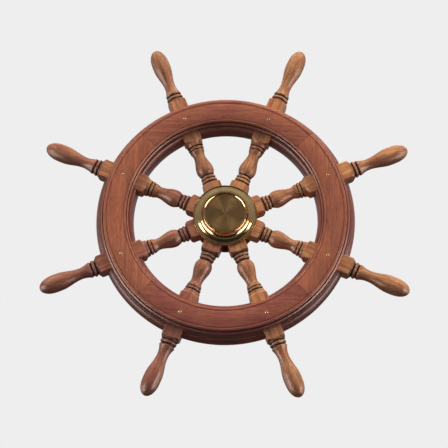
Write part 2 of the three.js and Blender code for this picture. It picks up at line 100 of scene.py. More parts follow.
class WheelSettings(bpy.types.PropertyGroup):
    """Sizes and colours that a user would change."""

    rim_inner: bpy.props.FloatProperty(
        name="Rim inner radius", description="Axis to the inside of the felloes",
        default=178 * MM, min=0.1, unit="LENGTH", subtype="DISTANCE")
    ring_inner: bpy.props.FloatProperty(
        name="Ring inner radius", description="Axis to the inside of the front and back rings",
        default=186 * MM, min=0.1, unit="LENGTH", subtype="DISTANCE")
    screw_circle: bpy.props.FloatProperty(
        name="Hub screw circle", description="Axis to the screws in the back plate",
        default=51 * MM, min=0.03, unit="LENGTH", subtype="DISTANCE")
    grip_radius: bpy.props.FloatProperty(
        name="Grip radius", description="Thickest part of a handle, from its own axis",
        default=17.2 * MM, min=0.008, unit="LENGTH", subtype="DISTANCE")
    arris: bpy.props.FloatProperty(
        name="Arris", description="How far the edges of the square stock are rubbed down",
        default=0.7 * MM, min=0.0, unit="LENGTH", subtype="DISTANCE")
    ring_light: bpy.props.FloatVectorProperty(
        name="Ring, light grain", description="Mahogany between the growth lines",
        subtype="COLOR", size=4, default=linear("#B2694A"))
    ring_dark: bpy.props.FloatVectorProperty(
        name="Ring, dark grain", description="Mahogany along the growth lines",
        subtype="COLOR", size=4, default=linear("#925038"))
    felloe_light: bpy.props.FloatVectorProperty(
        name="Felloe, light grain", description="Darker mahogany of the middle layer",
        subtype="COLOR", size=4, default=linear("#97503E"))
    felloe_dark: bpy.props.FloatVectorProperty(
        name="Felloe, dark grain", description="Growth lines of the middle layer",
        subtype="COLOR", size=4, default=linear("#6A3228"))
    spoke_light: bpy.props.FloatVectorProperty(
        name="Spoke, light grain", description="Teak between the growth lines",
        subtype="COLOR", size=4, default=linear("#DC9E68"))
    spoke_dark: bpy.props.FloatVectorProperty(
        name="Spoke, dark grain", description="Teak along the growth lines",
        subtype="COLOR", size=4, default=linear("#9C583C"))
    # Painted shade: the near-black colour that grooves and quirks, and more lightly the turned parts of
    # the spokes, are painted towards.
    painted_groove_shade: bpy.props.FloatVectorProperty(
        name="Groove stain", description="Stain and polish left in the turned grooves",
        subtype="COLOR", size=4, default=linear("#160706"))
    brass: bpy.props.FloatVectorProperty(
        name="Brass", description="Polished brass of the hub",
        subtype="COLOR", size=4, default=linear("#E6C28C"))


def settings():
    """The scene's wheel settings."""
    return bpy.context.scene.ship_wheel


# Materials -----------------------------------------------------------------------------------


def add_node(tree, kind, inputs=None, **options):
    """A new node with its options set, and each input set to a value or linked to a socket."""
    node = tree.nodes.new(kind)
    for name, value in options.items():
        setattr(node, name, value)
    for name, value in (inputs or {}).items():
        if isinstance(value, bpy.types.NodeSocket):
            tree.links.new(value, node.inputs[name])
        else:
            node.inputs[name].default_value = value
    return node


def new_material(name):
    """An empty node material and its tree."""
    material = bpy.data.materials.new(name)
    material.use_nodes = True
    material.node_tree.nodes.clear()
    return material, material.node_tree


def set_stops(ramp, stops):
    """Gives a colour ramp its stops, as {position: colour}."""
    elements = ramp.color_ramp.elements
    while len(elements) > 1:
        elements.remove(elements[-1])
    for i, (position, colour) in enumerate(sorted(stops.items())):
        stop = elements[0] if i == 0 else elements.new(position)
        stop.position = position
        stop.color = colour


VARNISH_ROUGHNESS = 0.26


def varnished_wood(name, light, dark):
    """Planed or turned hardwood under gloss spirit varnish.

    The eye sees long figure lines, fine fibre, short dark pores and a slow drift of colour from
    orange to purple brown, all under a clear coat. Painted shade darkens the grooves, the quirks and
    the turned parts, and on the spokes the cast holds painted shade too.
    """
    material, tree = new_material(name)
    grain = add_node(tree, "ShaderNodeAttribute", attribute_name="grain").outputs["Vector"]
    # Mask of painted shade: high in grooves and quirks, lower over the turned parts of the spokes.
    groove = add_node(tree, "ShaderNodeAttribute", attribute_name="groove").outputs["Fac"]
    # Each board's cast, which on the spokes also holds painted shade.
    tone_and_shade = add_node(tree, "ShaderNodeAttribute", attribute_name="tone_and_shade").outputs["Fac"]

    def along_grain(length, width, detail, distortion=0.0):
        """Noise stretched to marks of a length along the grain and a width across it, in mm."""
        stretched = add_node(
            tree, "ShaderNodeVectorMath", operation="MULTIPLY",
            inputs={0: grain, 1: (1 / (length * MM), 1 / (width * MM), 1 / (width * MM))})
        noise = add_node(
            tree, "ShaderNodeTexNoise",
            inputs={"Vector": stretched.outputs[0], "Scale": 1.0, "Detail": detail,
                    "Roughness": 0.55, "Distortion": distortion})
        return noise.outputs["Fac"]

    def mixed(factor, a, b, blend="MIX"):
        """Colour b over colour a, by a factor."""
        mix = add_node(tree, "ShaderNodeMix", data_type="RGBA", blend_type=blend,
                       inputs={"Factor": factor, "A": a, "B": b})
        return mix.outputs["Result"]

    figure = along_grain(length=110, width=5, detail=4.0, distortion=0.5)
    fibre = along_grain(length=22, width=1.3, detail=3.0)
    pores = along_grain(length=8, width=0.9, detail=0.0)
    drift = along_grain(length=60, width=40, detail=2.0)

    bands = add_node(tree, "ShaderNodeValToRGB", inputs={"Fac": figure})
    middle = [(a + b) / 2 for a, b in zip(light, dark)]
    set_stops(bands, {0.3: tuple(dark), 0.5: tuple(middle), 0.7: tuple(light)})
    fibres = add_node(tree, "ShaderNodeValToRGB", inputs={"Fac": fibre})
    set_stops(fibres, {0.3: (0.66, 0.6, 0.58, 1), 0.7: (1.15, 1.15, 1.15, 1)})
    streaked = mixed(0.75, bands.outputs["Color"], fibres.outputs["Color"], blend="MULTIPLY")
    pore_mask = add_node(
        tree, "ShaderNodeMapRange",
        inputs={"Value": pores, "From Min": 0.64, "From Max": 0.74, "To Min": 0.0, "To Max": 0.55})
    pored = mixed(pore_mask.outputs["Result"], streaked,
                  (dark[0] * 0.35, dark[1] * 0.3, dark[2] * 0.3, 1))
    # Each board has its own cast, and it drifts along the board too. On the spokes the cast is partly
    # painted shade: darker and redder on the left and below, lighter on the right.
    cast = add_node(
        tree, "ShaderNodeMath", operation="ADD", use_clamp=True, inputs={0: tone_and_shade, 1: drift})
    casts = add_node(tree, "ShaderNodeValToRGB", inputs={"Fac": cast.outputs["Value"]})
    set_stops(casts, {0.2: (1.2, 1.18, 1.12, 1), 0.5: (1, 1, 1, 1), 0.85: (0.78, 0.62, 0.86, 1)})
    toned = mixed(1.0, pored, casts.outputs["Color"], blend="MULTIPLY")
    # Painted shade: the mask darkens grooves, quirks and turned parts towards a near-black colour.
    groove_shaded = mixed(groove, toned, tuple(settings().painted_groove_shade))
    relief = add_node(
        tree, "ShaderNodeMath", operation="SUBTRACT", inputs={0: fibre, 1: pore_mask.outputs["Result"]})
    bump = add_node(
        tree, "ShaderNodeBump",
        inputs={"Strength": 0.06, "Distance": 0.2 * MM, "Height": relief.outputs["Value"]})
    # Varnish wipes thin in the grooves.
    coat = add_node(
        tree, "ShaderNodeMapRange", inputs={"Value": groove, "To Min": 0.9, "To Max": 0.1})
    surface = add_node(
        tree, "ShaderNodeBsdfPrincipled",
        inputs={"Base Color": groove_shaded, "Roughness": 0.6, "IOR": 1.4,
                "Normal": bump.outputs["Normal"], "Coat Weight": coat.outputs["Result"],
                "Coat Roughness": VARNISH_ROUGHNESS, "Coat IOR": 1.5})
    add_node(tree, "ShaderNodeOutputMaterial", inputs={"Surface": surface.outputs["BSDF"]})
    return material


def ring_mahogany():
    """The rim's rings: red mahogany, planed flat and moulded, in a hard gloss."""
    s = settings()
    return varnished_wood("varnished_mahogany_ring", s.ring_light, s.ring_dark)


def felloe_mahogany():
    """The middle layer: a darker mahogany with the same varnish."""
    s = settings()
    return varnished_wood("varnished_mahogany_felloe", s.felloe_light, s.felloe_dark)


def spoke_teak():
    """The spokes: teak, turned and sanded, lighter and more golden than the rim."""
    s = settings()
    return varnished_wood("varnished_teak_spoke", s.spoke_light, s.spoke_dark)


def metal(name, colour, roughness, swirl, anisotropy=0.0):
    """Bare metal. The eye sees sharp reflections, a little wavy from the buffing wheel, and dulled
    where fingers and time have left a film. `swirl` is how far the film changes the roughness."""
    material, tree = new_material(name)
    place = add_node(tree, "ShaderNodeTexCoord").outputs["Object"]
    film = add_node(
        tree, "ShaderNodeTexNoise",
        inputs={"Vector": place, "Scale": 1 / (14 * MM), "Detail": 4.0, "Roughness": 0.6})
    dulled = add_node(
        tree, "ShaderNodeMapRange",
        inputs={"Value": film.outputs["Fac"], "From Min": 0.3, "From Max": 0.7,
                "To Min": roughness, "To Max": roughness + swirl})
    worn = add_node(tree, "ShaderNodeValToRGB", inputs={"Fac": film.outputs["Fac"]})
    shade = [c * 0.72 for c in colour[:3]]
    set_stops(worn, {0.3: (*shade, 1), 0.62: tuple(colour)})
    bump = add_node(
        tree, "ShaderNodeBump",
        inputs={"Strength": 0.3, "Distance": 0.4 * MM, "Height": film.outputs["Fac"]})
    surface = add_node(
        tree, "ShaderNodeBsdfPrincipled",
        inputs={"Base Color": worn.outputs["Color"], "Metallic": 1.0,
                "Roughness": dulled.outputs["Result"], "Normal": bump.outputs["Normal"],
                "Anisotropic": anisotropy})
    if anisotropy:
        turning = add_node(tree, "ShaderNodeTangent", direction_type="RADIAL", axis="Y")
        tree.links.new(turning.outputs["Tangent"], surface.inputs["Tangent"])
    add_node(tree, "ShaderNodeOutputMaterial", inputs={"Surface": surface.outputs["BSDF"]})
    return material


def polished_brass():
    """Buffed cast brass, with sharp bright reflections."""
    return metal("polished_brass", settings().brass, roughness=0.07, swirl=0.06)


def turned_brass():
    """Brass faced on a lathe and left: fine rings stretch each highlight into a bow."""
    return metal("turned_brass", linear("#B08A5C"), roughness=0.28, swirl=0.06, anisotropy=0.93)


def cast_bronze():
    """Machined gunmetal: browner and duller than brass."""
    return metal("machined_bronze", linear("#A27C46"), roughness=0.28, swirl=0.15)


def bright_steel():
    """Turned mild steel with a thin film of oil."""
    return metal("bright_steel", linear("#A7A9AB"), roughness=0.22, swirl=0.12)


MATERIALS = {
    "mahogany_ring": ring_mahogany,
    "mahogany_felloe": felloe_mahogany,
    "mahogany_spoke": spoke_teak,
    "polished_brass": polished_brass,
    "turned_brass": turned_brass,
    "bronze": cast_bronze,
    "bright_steel": bright_steel,
}
made_materials = {}


def material_for(slot):
    """The material of a slot of the record, made when it is first asked for."""
    if slot not in made_materials:
        made_materials[slot] = MATERIALS[slot]()
    return made_materials[slot]


# Shapes --------------------------------------------------------------------------------------

AXLE = Matrix.Rotation(-math.pi / 2, 4, "X")         # a lathe's axis laid along the wheel's
ALONG_SPOKE = Matrix.Rotation(math.pi / 2, 4, "Y")   # and laid along +X, a spoke's own direction
SHARP_EDGE = math.radians(32)    # faces that meet at a wider turn than this keep a crisp edge
HOLE_SIDES = 32


def round_wheel(angle):
    """A turn about the wheel's axis that takes +X to that angle, from +X towards +Z."""
    return Matrix.Rotation(-angle, 4, "Y")


def spoke_angle(i):
    """The angle of a spoke, counted from the first above +X."""
    return FIRST_SPOKE + i * SPOKE_STEP


def straight(t):
    """At one rate: a taper."""
    return t


def easy(t):
    """Slow at both ends."""
    return (1 - math.cos(math.pi * t)) / 2


def rounded(t):
    """Slow at the start: a shoulder that rolls over."""
    return 1 - math.cos(math.pi * t / 2)


def bulbous(t):
    """Fast at the start: the side of a bulb."""
    return math.sin(math.pi * t / 2)


def settling(t):
    """Fast at the start, then level: a neck below a collar."""
    return 1 - (1 - t) ** 2


def cut(length, radius, shape=straight):
    """A cut along a turning, in millimetres: on for a length, to a radius."""
    return {"length": length, "radius": radius, "shape": shape, "bulge": 0.0}


def bead(length, radius, bulge):
    """A half-round bead that ends at a radius."""
    return {"length": length, "radius": radius, "shape": straight, "bulge": bulge}


def turn(start, cuts, fineness=0.7):
    """The points that a list of cuts leaves after its start, all in millimetres."""
    distance, radius = start
    points = []
    for each in cuts:
        plain = each["shape"] is straight and not each["bulge"]
        steps = 1 if plain else max(4, math.ceil(each["length"] / fineness))
        for i in range(1, steps + 1):
            turned = math.pi * i / steps
            t = (1 - math.cos(turned)) / 2 if each["bulge"] else i / steps
            level = radius + (each["radius"] - radius) * each["shape"](t)
            points.append((distance + each["length"] * t, level + each["bulge"] * math.sin(turned)))
        distance += each["length"]
        radius = each["radius"]
    return points


def total(cuts):
    """The length of a list of cuts."""
    return sum(each["length"] for each in cuts)


def fitted(cuts, length):
    """The same cuts, stretched to take up a length."""
    scale = length / total(cuts)
    return [{**each, "length": each["length"] * scale} for each in cuts]


def groove_depths(points, reach=3.0, full=0.9):
    """How far each point of a turning lies down in a groove, from 0 to 1.

    A groove is what a straight edge `reach` millimetres long can't get into; `full` is the depth
    where the painted shade is at its darkest.
    """
    def near(i):
        return [j for j, point in enumerate(points) if abs(point[0] - points[i][0]) <= reach]

    nearby = [near(i) for i in range(len(points))]
    over = [max(points[j][1] for j in each) for each in nearby]
    bridged = [min(over[j] for j in each) for each in nearby]
    return [min(1.0, max(0.0, (top - point[1]) / full)) for top, point in zip(bridged, points)]


def even_angles(count):
    """Angles evenly round a circle."""
    return [2 * math.pi * i / count for i in range(count)]


def square_angles():
    """Angles round a square bar, closer together at its corners."""
    offsets = (-36, -27, -19, -12, -6, -3, -1, 1, 3, 6, 12, 19, 27, 36)
    corners = [math.radians(45 + 90 * q + offset) for q in range(4) for offset in offsets]
    return sorted(corners + [math.radians(90 * q) for q in range(4)])


def turned_shape(profile, angles, stock=None, ring=False, grooves=None):
    """Vertices, faces and painted groove shade of a turning about Z.

    `profile` is [height, radius] pairs in metres; it starts and ends on the axis, or closes on
    itself for a ring. `stock(height, angle)` is how far the bar that it is turned from reaches.
    """
    verts, faces, depths, rows = [], [], [], []
    for k, (height, radius) in enumerate(profile):
        depth = grooves[k] if grooves else 0.0
        if radius < 1e-7:
            rows.append([len(verts)])
            verts.append((0.0, 0.0, height))
            depths.append(depth)
            continue
        rows.append(range(len(verts), len(verts) + len(angles)))
        for angle in angles:
            reach = min(radius, stock(height, angle)) if stock else radius
            verts.append((reach * math.cos(angle), reach * math.sin(angle), height))
            depths.append(depth)
    pairs = list(zip(rows, rows[1:])) + ([(rows[-1], rows[0])] if ring else [])
    for low, high in pairs:
        for i in range(len(angles)):
            j = (i + 1) % len(angles)
            corners = [low[i % len(low)], low[j % len(low)], high[j % len(high)], high[i % len(high)]]
            face = list(dict.fromkeys(corners))
            if len(face) > 2:
                faces.append(face)
    return verts, faces, depths


def swept_shape(outline, half_angle, steps):
    """Vertices, faces and painted groove shade of a rim piece about Y, its middle at +X.

    `outline` is a closed list of (radius, y, painted groove shade), radius and y in metres, and
    `half_angle(radius)` is how far it runs to each side.
    """
    verts, faces, depths = [], [], []
    count = len(outline)
    for s in range(steps + 1):
        share = 2 * s / steps - 1
        for radius, y, depth in outline:
            angle = share * half_angle(radius)
            verts.append((radius * math.cos(angle), y, radius * math.sin(angle)))
            depths.append(depth)
    for s in range(steps):
        for i in range(count):
            j = (i + 1) % count
            faces.append([s * count + i, s * count + j, (s + 1) * count + j, (s + 1) * count + i])
    faces.append(list(range(count)))
    faces.append(list(range(steps * count, (steps + 1) * count)))
    return verts, faces, depths


def placed_mesh(name, shape, place):
    """A mesh from a shape's vertices and faces, moved to its place."""
    mesh = bpy.data.meshes.new(name)
    mesh.from_pydata([place @ Vector(v) for v in shape[0]], [], shape[1])
    return mesh


def face_outwards(mesh):
    """Turns every face of a closed mesh outwards."""
    work = bmesh.new()
    work.from_mesh(mesh)
    bmesh.ops.recalc_face_normals(work, faces=work.faces)
    work.to_mesh(mesh)
    work.free()


def finish_piece(node, mesh, slot, body):
    """Smooths a mesh and puts it in the scene on its body, as the look of that node."""
    face_outwards(mesh)
    mesh.shade_smooth()
    mesh.set_sharp_from_angle(angle=SHARP_EDGE)
    mesh.materials.append(material_for(slot))
    obj = bpy.data.objects.new(f"{node}_fine", mesh)
    bpy.context.scene.collection.objects.link(obj)
    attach(obj, body)
    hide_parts(node)
    return obj


def make_piece(node, shape, place, slot, body, grain_axes=None, tone_and_shade=0.0, seed=0.0):
    """A smooth mesh object from a shape, placed, in its material, riding on its body.

    `grain_axes` gives which of a vertex's own coordinates run along and across the grain; `seed`
    moves the grain so that no two boards match, and the tone is the board's cast, which on the
    spokes also holds painted shade.
    """
    verts, _, depths = shape
    mesh = placed_mesh(node, shape, place)
    if grain_axes:
        grain = mesh.attributes.new("grain", "FLOAT_VECTOR", "POINT")
        shift = Vector((seed * 0.37, seed * 0.113, seed * 0.071))
        values = [value for v in verts for value in Vector([v[axis] for axis in grain_axes]) + shift]
        grain.data.foreach_set("vector", values)
        # Painted shade for the wood material: how dark each point is painted in grooves, quirks and
        # turned parts.
        mesh.attributes.new("groove", "FLOAT", "POINT").data.foreach_set("value", depths)
        # The board's cast; on the spokes it also holds painted shade.
        mesh.attributes.new("tone_and_shade", "FLOAT", "POINT").data.foreach_set("value", [tone_and_shade] * len(verts))
    return finish_piece(node, mesh, slot, body)


def cut_away(obj, tools):
    """Cuts closed tool meshes out of a piece and deletes them."""
    for tool in tools:
        cutter = obj.modifiers.new("cut", "BOOLEAN")
        cutter.operation = "DIFFERENCE"
        cutter.solver = "EXACT"
        cutter.object = tool
    depsgraph = bpy.context.evaluated_depsgraph_get()
    carved = bpy.data.meshes.new_from_object(obj.evaluated_get(depsgraph))
    obj.modifiers.clear()
    old = obj.data
    carved.name = old.name
    obj.data = carved
    bpy.data.meshes.remove(old)
    for tool in tools:
        bpy.data.objects.remove(tool)
    obj.data.set_sharp_from_angle(angle=SHARP_EDGE)


def tool_object(name, shape, place):
    """A closed mesh to cut with."""
    mesh = placed_mesh(name, shape, place)
    face_outwards(mesh)
    obj = bpy.data.objects.new(name, mesh)
    bpy.context.scene.collection.objects.link(obj)
    return obj


def drill(name, profile, place):
    """A round cutter along the wheel's axis, from [distance, radius] pairs in metres."""
    return tool_object(name, turned_shape(profile, even_angles(HOLE_SIDES)), place @ AXLE)


def block(name, low, high, place=Matrix()):
    """A square-edged cutter between two opposite corners."""
    outline = ((low[0], low[2]), (high[0], low[2]), (high[0], high[2]), (low[0], high[2]))
    corners = [(x, y, z) for y in (low[1], high[1]) for x, z in outline]
    sides = [(i, (i + 1) % 4, (i + 1) % 4 + 4, i + 4) for i in range(4)]
    return tool_object(name, (corners, [(0, 1, 2, 3), (4, 5, 6, 7), *sides], None), place)


def lathe_piece(node, points, slot, body, ring=False, sides=128, stock=None):
    """A piece turned about the wheel's axis from [height, radius] points in millimetres."""
    profile = [(height * MM, radius * MM) for height, radius in points]
    shape = turned_shape(profile, even_angles(sides), stock=stock, ring=ring)
    return make_piece(node, shape, AXLE, slot, body)


def arc(centre, size, start, end, steps):
    """Points (height, radius) on an ellipse, between two angles in degrees."""
    span = [math.radians(start + (end - start) * i / steps) for i in range(steps + 1)]
    return [(centre[0] + size[0] * math.sin(a), centre[1] + size[1] * math.cos(a)) for a in span]


# Rim -----------------------------------------------------------------------------------------

OUTER_MOULDING = 12.5 * MM   # width of a ring's moulded edge, outside
INNER_MOULDING = 9.5 * MM
MOULDING_CUTTER = 12.5 * MM  # width that the moulding below is drawn for


def ring_moulding(base, width, side):
    """A ring's moulded edge from its face to its seat, as (radius, drop, painted groove shade).

    A fine quirk, a broad round that stays nearly flush with the face, a deep step and a bead.
    `side` is 1 outside and -1 inside.
    """
    quarter = [math.radians(90 * i / 8) for i in range(1, 9)]
    # The third number of each point is painted shade: dark in the quirk, in the deep step and where the
    # ring meets the felloe.
    points = [(0, 0, 0), (0.3, 0.1, 0.3), (0.45, 0.9, 1), (0.8, 1.0, 1), (0.95, 0.55, 0.3)]
    points += [(0.95 + 2.3 * math.sin(a), 0.15 + 0.4 * math.cos(a), 0) for a in quarter[3:]]
    points += [(3.25 + 4.1 * math.sin(a), 0.15 + 2.9 * (1 - math.cos(a)), 0) for a in quarter]
    points += [(7.5, 4.6, 0.8), (7.7, 7.0, 1), (8.3, 7.3, 1), (8.5, 6.9, 0.4)]
    points += [(8.5 + 2.2 * (1 - math.cos(a)), 6.9 - 0.5 * math.sin(2 * a), 0) for a in quarter[1:4]]
    points += [(9.6 + 2.9 * math.sin(a), 7.0 + 4.6 * (1 - math.cos(a)), 0) for a in quarter[1:]]
    points.append((12.5, (RING_FACE - RING_SEAT) / MM, 0.5))
    scale = width / MOULDING_CUTTER
    return [(base - side * (width - across * scale * MM), drop * MM, depth)
            for across, drop, depth in points]


def ring_outline(facing):
    """A ring's closed outline; `facing` is -1 for the front ring and 1 for the back."""
    inner = ring_moulding(settings().ring_inner, INNER_MOULDING, -1)
    outer = ring_moulding(RING_EDGE, OUTER_MOULDING, 1)
    loop = inner[::-1] + outer
    return [(radius, facing * (RING_FACE - drop), depth) for radius, drop, depth in loop]


def felloe_outline():
    """A felloe's closed outline, as (radius, y, painted groove shade).

    Outside, its front edge has an ovolo, a quirk and a long nose that is widest behind the middle.
    Inside, the front edge is rolled over. The back is plain.
    """
    edge, nose = HALF_SQUARE, FELLOE_NOSE
    # The third number of each point is painted shade, darkest in the quirk and where the felloe meets
    # the ring.
    front = [(9.9, 17.5, 0.8), (9.2, 17.3, 0.3), (8.6, 16.4, 0), (8.0, 14.6, 0), (7.5, 12.6, 0),
             (7.3, 10.8, 0.2), (7.5, 9.9, 1), (7.1, 9.1, 1), (6.6, 8.6, 0.2)]
    outside = [(nose - inset * MM, -back * MM, painted_shade) for inset, back, painted_shade in front]
    # The nose swells from the quirk to its crown, between a straight slope and a full round, and
    # falls away a little behind.
    quirk_inset, quirk, crown, fall = 6.6 * MM, -8.6 * MM, 7.5 * MM, 3.4 * MM
    swell = [math.radians(7.5 * i) for i in range(1, 13)]
    quarter = swell[1::2]
    outside += [(nose - quirk_inset / 2 * (math.cos(a) ** 1.25 + 1 - math.sin(a)),
                 crown - (crown - quirk) * math.cos(a), 0) for a in swell]
    outside += [(nose - fall * (1 - math.cos(a)), crown + (edge - crown) * math.sin(a), 0)
                for a in quarter]
    inner = settings().rim_inner
    plain = [(inner + 0.6 * MM, edge, 0), (inner + 0.2 * MM, edge - 0.2 * MM, 0),
             (inner, edge - 0.6 * MM, 0), (inner, 0.3 * edge, 0), (inner, -0.05 * edge, 0)]
    roll = [(inner + 6.5 * MM * (1 - math.cos(a)), -edge * (0.05 + 0.93 * math.sin(a)), 0)
            for a in quarter]
    return outside + plain + roll + [(inner + 6.7 * MM, -edge, 0.6)]


PIN_RADIUS = 3.0 * MM
PIN_HOLE_RADIUS = 3.05 * MM
PIN_DOME = 1.3 * MM          # height of a pin's rounded end
PIN_PROUD = 0.8 * MM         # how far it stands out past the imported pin


def pin_place(i):
    """Where the pin of a spoke goes through the rim."""
    return round_wheel(spoke_angle(i)) @ Matrix.Translation((PIN_CIRCLE, 0, 0))


def pin_cutter(i):
    """A cutter for the pin hole of one spoke, right through the rim."""
    end = 50 * MM
    rod = [(-end, 0.0), (-end, PIN_HOLE_RADIUS), (end, PIN_HOLE_RADIUS), (end, 0.0)]
    return drill("pin_hole", rod, pin_place(i))


# How red each board of a ring is: the left one is more orange, the bottom one more purple.
RING_TONES = (-0.1, 0.14, -0.16, 0.24)
RING_STEPS = 60
FELLOE_STEPS = 24


class SHIPWHEEL_OT_rings(bpy.types.Operator):
    """Builds the front and back rings, four moulded boards each, butted end to end"""

    bl_idname = "shipwheel.rings"
    bl_label = "Rings"

    def execute(self, context):
        half = math.pi / SEGMENTS
        for side, facing in (("front", -1), ("back", 1)):
            outline = ring_outline(facing)
            for i in range(SEGMENTS):
                shape = swept_shape(outline, lambda radius: half - GAP / 2 / radius, RING_STEPS)
                piece = make_piece(
                    f"{side}_ring_segment_{i + 1}", shape, round_wheel(i * 2 * half),
                    "mahogany_ring", "wheel", grain_axes=(2, 0, 1), tone_and_shade=RING_TONES[i],
                    seed=3 + i + 10 * facing)
                cut_away(piece, [pin_cutter(2 * i), pin_cutter(2 * i - 1)])
        return {"FINISHED"}


class SHIPWHEEL_OT_felloes(bpy.types.Operator):
    """Builds the eight felloes that fill the rim between the spokes"""

    bl_idname = "shipwheel.felloes"
    bl_label = "Felloes"

    def execute(self, context):
        def half_angle(radius):
            return SPOKE_STEP / 2 - math.asin((HALF_SQUARE + GAP) / radius)

        for i in range(SPOKES):
            shape = swept_shape(felloe_outline(), half_angle, FELLOE_STEPS)
            place = round_wheel(spoke_angle(i) + SPOKE_STEP / 2)
            make_piece(f"felloe_{i + 1}", shape, place, "mahogany_felloe", "wheel",
                       grain_axes=(2, 0, 1), tone_and_shade=0.1 * math.sin(2.4 * i), seed=20 + i)
        return {"FINISHED"}


class SHIPWHEEL_OT_rim_pins(bpy.types.Operator):
    """Builds the brass pins through the rings and spokes, domed at both ends"""

    bl_idname = "shipwheel.rim_pins"
    bl_label = "Rim pins"

    def execute(self, context):
        dome = [(PIN_DOME * (1 - math.cos(a)) - PIN_PROUD, PIN_RADIUS * math.sin(a))
                for a in (math.radians(15 * i) for i in range(7))]
        front = [(-PIN_REACH + rise, radius) for rise, radius in dome]
        profile = front + [(-height, radius) for height, radius in front[::-1]]
        shape = turned_shape(profile, even_angles(24))
        for i in range(SPOKES):
            make_piece(f"rim_pin_{i + 1}", shape, pin_place(i) @ AXLE, "polished_brass", "wheel")
        return {"FINISHED"}


# Spokes --------------------------------------------------------------------------------------

HEEL_START = 22.0            # millimetres from the wheel's axis
HEEL_PROUD = 8.5             # square heel past the hub plate
BLOCK_PROUD_INSIDE = 7.5     # square block past the felloes, towards the hub
BLOCK_PROUD_OUTSIDE = 7.0    # and towards the handle
GRIP_LEVEL = 5.0             # the grip's thickest part
GRIP_END = 34.0              # its rounded end
END_POINTS = 24
TIP_BLUNTNESS = 2.4          # 2 is an ellipse; more is a fuller tip

BALUSTER_FOOT = [cut(7, 16.6, rounded), cut(0.9, 13.3), cut(1.2, 13.2), bead(6.4, 13.0, 2.4),
                 cut(1.2, 13.0), bead(5.4, 12.8, 1.7), cut(1.6, 12.4)]
BALUSTER_VASE = [cut(13.2, 17.1, bulbous), cut(31.5, 11.2, easy), cut(11, 14.3, easy)]
BALUSTER_HEAD = [cut(0.6, 12.8), cut(1.0, 12.8), bead(5.8, 13.4, 2.4), cut(1.2, 13.4),
                 cut(0.6, 15.8), cut(4.8, 16.6, bulbous)]
HANDLE_FOOT = [cut(6.2, 17.0, rounded), cut(1.6, 16.6), cut(0.6, 13.9), cut(1.7, 13.9),
               bead(6.2, 13.7, 2.5), cut(1.9, 13.6), cut(3.4, 15.3, bulbous)]
HANDLE_NECK = [cut(19.2, 10.8, settling)]

TURNED_PAINTED_SHADE = 0.2           # painted shade: turned wood is painted darker than the planed faces
# Each spoke's cast is partly its own colour and partly painted shade: those on the left and below are
# painted darker and redder, those on the right lighter tan.
SPOKE_TONES_AND_SHADE = (-0.26, -0.22, 0.12, 0.14, 0.3, 0.28, -0.16, -0.24)


def spoke_points():
    """A spoke's turned outline in millimetres, from the wheel's axis to the handle's tip."""
    grip_radius = settings().grip_radius / MM
    corner = HALF_SQUARE / MM * math.sqrt(2) + 0.2
    heel_end = HUB_RADIUS / MM + HEEL_PROUD
    block_start = settings().rim_inner / MM - BLOCK_PROUD_INSIDE
    block_end = FELLOE_NOSE / MM + BLOCK_PROUD_OUTSIDE
    tip = SPOKE_TIP / MM
    head = BALUSTER_HEAD + [cut(6.5, corner, rounded)]
    vase = fitted(BALUSTER_VASE, block_start - heel_end - total(BALUSTER_FOOT) - total(head))
    neck_end = block_end + total(HANDLE_FOOT) + total(HANDLE_NECK)
    swell = [cut(tip - GRIP_END - GRIP_LEVEL - neck_end, grip_radius, easy),
             cut(GRIP_LEVEL, grip_radius)]
    # The heel is left square; its points come closer together where the mitre starts.
    heel = [(step, corner) for step in (HEEL_START, 30, 38, 42, 44, 52, heel_end)]
    block = [(block_start + share * (block_end - block_start), corner) for share in (0.3, 0.7, 1.0)]
    points = heel + turn(heel[-1], BALUSTER_FOOT + vase + head)
    points += block + turn(block[-1], HANDLE_FOOT + HANDLE_NECK + swell)
    for i in range(1, END_POINTS + 1):
        t = math.sin(math.pi / 2 * i / END_POINTS)
        points.append((tip - GRIP_END * (1 - t),
                       grip_radius * math.sqrt(max(0.0, 1 - t ** TIP_BLUNTNESS))))
    return points


def bar_reach(height, angle):
    """How far the square bar reaches: softened at its edges, and mitred at the heel."""
    width = min(HALF_SQUARE, height * math.tan(SPOKE_STEP / 2) - GAP / 2)
    power = 2 / math.log2(1 / (1 - settings().arris / (HALF_SQUARE * math.sqrt(2))) ** 2)
    across = abs(math.cos(angle) / width) ** power + abs(math.sin(angle) / HALF_SQUARE) ** power
    return across ** (-1 / power)


class SHIPWHEEL_OT_spokes(bpy.types.Operator):
    """Builds the eight spokes, each turned from square stock from the hub to the grip"""

    bl_idname = "shipwheel.spokes"
    bl_label = "Spokes"

    def execute(self, context):
        points = spoke_points()
        turned = points[:-END_POINTS]
        # Painted shade: grooves darken with their depth, and every turned part is darkened at least by
        # the turned shade.
        grooves = [max(depth, TURNED_PAINTED_SHADE * (radius < 0.99 * HALF_SQUARE / MM))
                   for depth, (_, radius) in zip(groove_depths(turned), turned)]
        grooves += [TURNED_PAINTED_SHADE] * END_POINTS
        profile = [(points[0][0] * MM, 0.0)] + [(d * MM, r * MM) for d, r in points]
        shape = turned_shape(profile, square_angles(), stock=bar_reach, grooves=[0.0] + grooves)
        for i in range(SPOKES):
            place = round_wheel(spoke_angle(i)) @ ALONG_SPOKE
            piece = make_piece(f"spoke_{i + 1}", shape, place, "mahogany_spoke", "wheel",
                               grain_axes=(2, 0, 1), tone_and_shade=SPOKE_TONES_AND_SHADE[i], seed=40 + i)
            cut_away(piece, [pin_cutter(i)])
        return {"FINISHED"}


# Hub -----------------------------------------------------------------------------------------

HUB_SIDES = 160
PLATE_BORE = 12.8            # millimetres, as are all below
SPIGOT_RADIUS = 33.7         # the cap's spigot, outside
SCREW_LENGTH = 26.0
SCREW_SHANK = 2.4
SCREW_HEAD = 4.6
THREAD_DEPTH = 0.5
THREAD_PITCH = 1.4
SCREW_SLOT = (12.0, 1.1, 1.1)    # length, width and depth
BUSH_BORE = 12.9
KEYWAY_EASE = 1.1            # the bush's keyway is this much wider than the key


